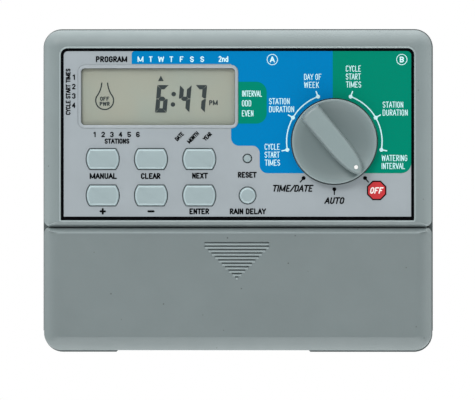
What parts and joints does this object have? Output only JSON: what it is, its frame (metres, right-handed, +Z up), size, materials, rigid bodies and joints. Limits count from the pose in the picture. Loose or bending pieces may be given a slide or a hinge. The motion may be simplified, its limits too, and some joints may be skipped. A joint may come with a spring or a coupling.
{
  "type": "irrigation controller",
  "caption": "Wall-mounted irrigation timer: rounded grey case with display, keys, a turning program dial and a slide-off cover over the wiring bay.",
  "frame": {"origin": "middle of the rear case's flat back, on the wall", "axes": "+X to the right as the user faces it, +Y into the wall, +Z up"},
  "size_m": [0.195, 0.0495, 0.1618],
  "materials": {
    "case_plastic": "finely textured moulded grey plastic",
    "cover_plastic": "finely textured moulded grey plastic",
    "faceplate_print": "satin printed overlay",
    "key_plastic": "smooth light grey plastic",
    "dial_plastic": "smooth grey plastic",
    "window_clear": "clear polished window",
    "lcd": "grey-green reflective display",
    "white_paint": "white inlay",
    "black_plastic": "black moulded plastic",
    "circuit_board": "green solder mask",
    "chip_black": "black encapsulant",
    "steel": "zinc plated",
    "terminal_plastic": "green terminal moulding",
    "rubber": "black",
    "battery_wrap": "plain dark sleeve",
    "capacitor_sleeve": "dark blue sleeve",
    "red_coating": "red insulation"
  },
  "bodies": {
    "case": {"battery": "battery_wrap", "battery_lead_black": "rubber", "battery_lead_red": "red_coating", "battery_snap": "rubber", "board_link_header": "black_plastic", "bridge_rectifier": "chip_black", "case_screw_1": "steel", "case_screw_2": "steel", "case_screw_3": "steel", "case_screw_4": "steel", "control_board": "circuit_board", "crystal": "steel", "display_bezel": "faceplate_print", "display_window": "window_clear", "faceplate": "faceplate_print", "filter_capacitor": "capacitor_sleeve", "front_case": "case_plastic", "fuse": "steel", "lcd_elastomer_lower": "rubber", "lcd_elastomer_upper": "rubber", "lcd_glass": "lcd", "lcd_holder": "black_plastic", "microcontroller": "chip_black", "rear_case": "case_plastic", "rotary_switch": "black_plastic", "surge_varistor": "red_coating", "tact_switch_clear": "black_plastic", "tact_switch_enter": "black_plastic", "tact_switch_manual": "black_plastic", "tact_switch_minus": "black_plastic", "tact_switch_next": "black_plastic", "tact_switch_plus": "black_plastic", "tact_switch_rain_delay": "black_plastic", "tact_switch_reset": "black_plastic", "terminal_block": "terminal_plastic", "terminal_board": "circuit_board", "terminal_screw_1": "steel", "terminal_screw_2": "steel", "terminal_screw_24v_a": "steel", "terminal_screw_24v_b": "steel", "terminal_screw_3": "steel", "terminal_screw_4": "steel", "terminal_screw_5": "steel", "terminal_screw_6": "steel", "terminal_screw_common": "steel", "terminal_screw_master_valve": "steel", "triac_row": "chip_black"},
    "cover": {"terminal_cover": "cover_plastic"},
    "dial": {"dial_knob": "dial_plastic", "dial_pointer_dot": "white_paint", "dial_shaft": "steel"},
    "manual": {"key_manual": "key_plastic"},
    "clear": {"key_clear": "key_plastic"},
    "next": {"key_next": "key_plastic"},
    "plus": {"key_plus": "key_plastic"},
    "minus": {"key_minus": "key_plastic"},
    "enter": {"key_enter": "key_plastic"},
    "rain_delay": {"key_rain_delay": "key_plastic"},
    "reset": {"key_reset": "key_plastic"}
  },
  "joints": [
    {"name": "cover_slide", "type": "slide", "parent": "case", "child": "cover", "axis": [0, 0, -1], "range_m": [0, 0.066]},
    {"name": "dial_turn", "type": "hinge", "parent": "case", "child": "dial", "pos_m": [0.0481, -0.04, 0.0245], "axis": [0, 1, 0], "continuous": true},
    {"name": "manual_press", "type": "slide", "parent": "case", "child": "manual", "axis": [0, 1, 0], "range_m": [0, 0.0008], "stiffness_N_per_m": 800, "springref_m": -0.0008},
    {"name": "clear_press", "type": "slide", "parent": "case", "child": "clear", "axis": [0, 1, 0], "range_m": [0, 0.0008], "stiffness_N_per_m": 800, "springref_m": -0.0008},
    {"name": "next_press", "type": "slide", "parent": "case", "child": "next", "axis": [0, 1, 0], "range_m": [0, 0.0008], "stiffness_N_per_m": 800, "springref_m": -0.0008},
    {"name": "plus_press", "type": "slide", "parent": "case", "child": "plus", "axis": [0, 1, 0], "range_m": [0, 0.0008], "stiffness_N_per_m": 800, "springref_m": -0.0008},
    {"name": "minus_press", "type": "slide", "parent": "case", "child": "minus", "axis": [0, 1, 0], "range_m": [0, 0.0008], "stiffness_N_per_m": 800, "springref_m": -0.0008},
    {"name": "enter_press", "type": "slide", "parent": "case", "child": "enter", "axis": [0, 1, 0], "range_m": [0, 0.0008], "stiffness_N_per_m": 800, "springref_m": -0.0008},
    {"name": "rain_delay_press", "type": "slide", "parent": "case", "child": "rain_delay", "axis": [0, 1, 0], "range_m": [0, 0.0008], "stiffness_N_per_m": 800, "springref_m": -0.0008},
    {"name": "reset_press", "type": "slide", "parent": "case", "child": "reset", "axis": [0, 1, 0], "range_m": [0, 0.0008], "stiffness_N_per_m": 800, "springref_m": -0.0008}
  ]
}
